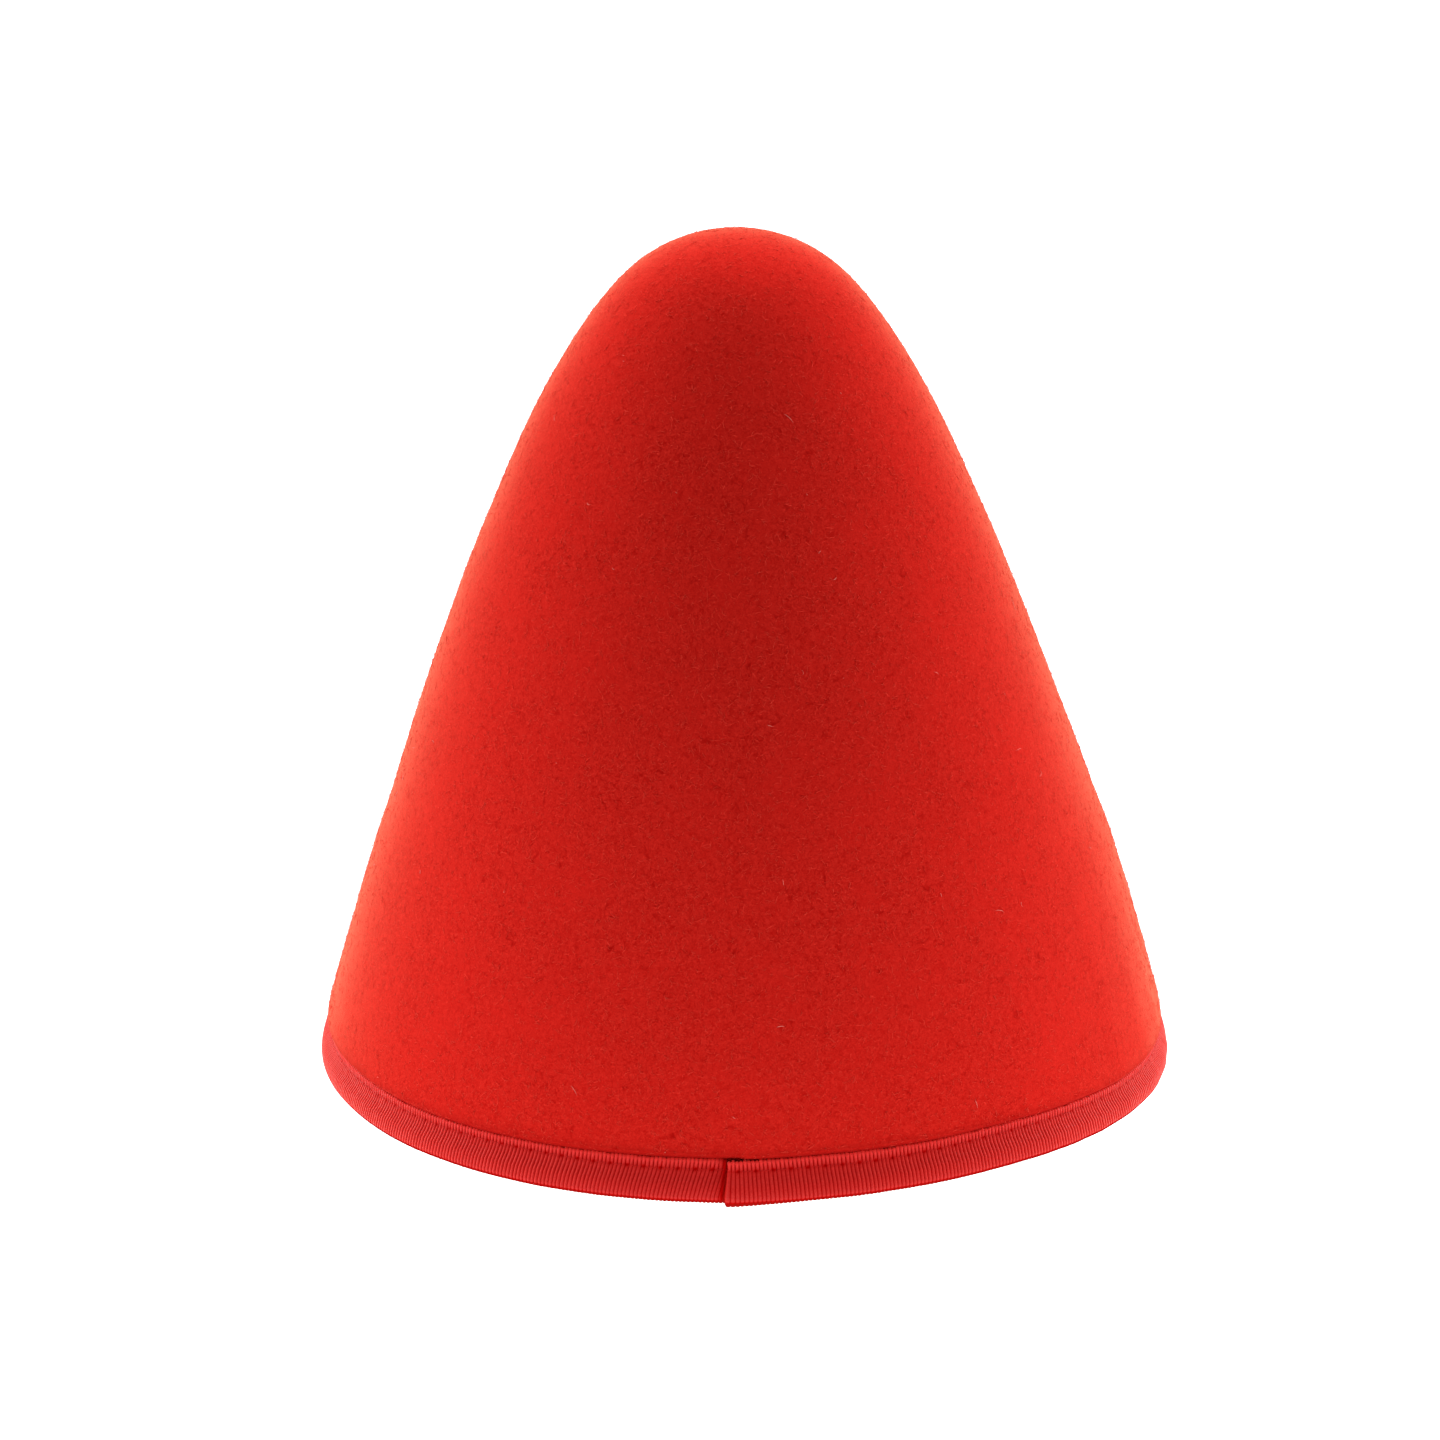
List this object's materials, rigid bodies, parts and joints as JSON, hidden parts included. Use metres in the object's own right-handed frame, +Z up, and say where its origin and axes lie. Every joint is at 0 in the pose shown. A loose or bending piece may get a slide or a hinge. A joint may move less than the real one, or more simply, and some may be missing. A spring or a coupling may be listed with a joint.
{
  "type": "clown cone hat",
  "caption": "Tall brimless cone hat of seamless felt with a round tip and a gently bowed flank, hollow and open below, its rim bound by a folded ribbon with lapped ends.",
  "frame": {"origin": "centre of the rim, on the surface that the hat stands on", "axes": "+Z up the cone to its tip; -Y towards the front, where the ribbon's ends lap"},
  "size_m": [0.1896, 0.1909, 0.1855],
  "materials": {
    "felt": "matte red wool felt with a fine fuzzy nap",
    "ribbon": "red grosgrain ribbon with fine ribs across it and a soft satin gloss"
  },
  "bodies": {
    "root": {"felt_cone": "felt", "rim_binding": "ribbon"}
  },
  "joints": []
}
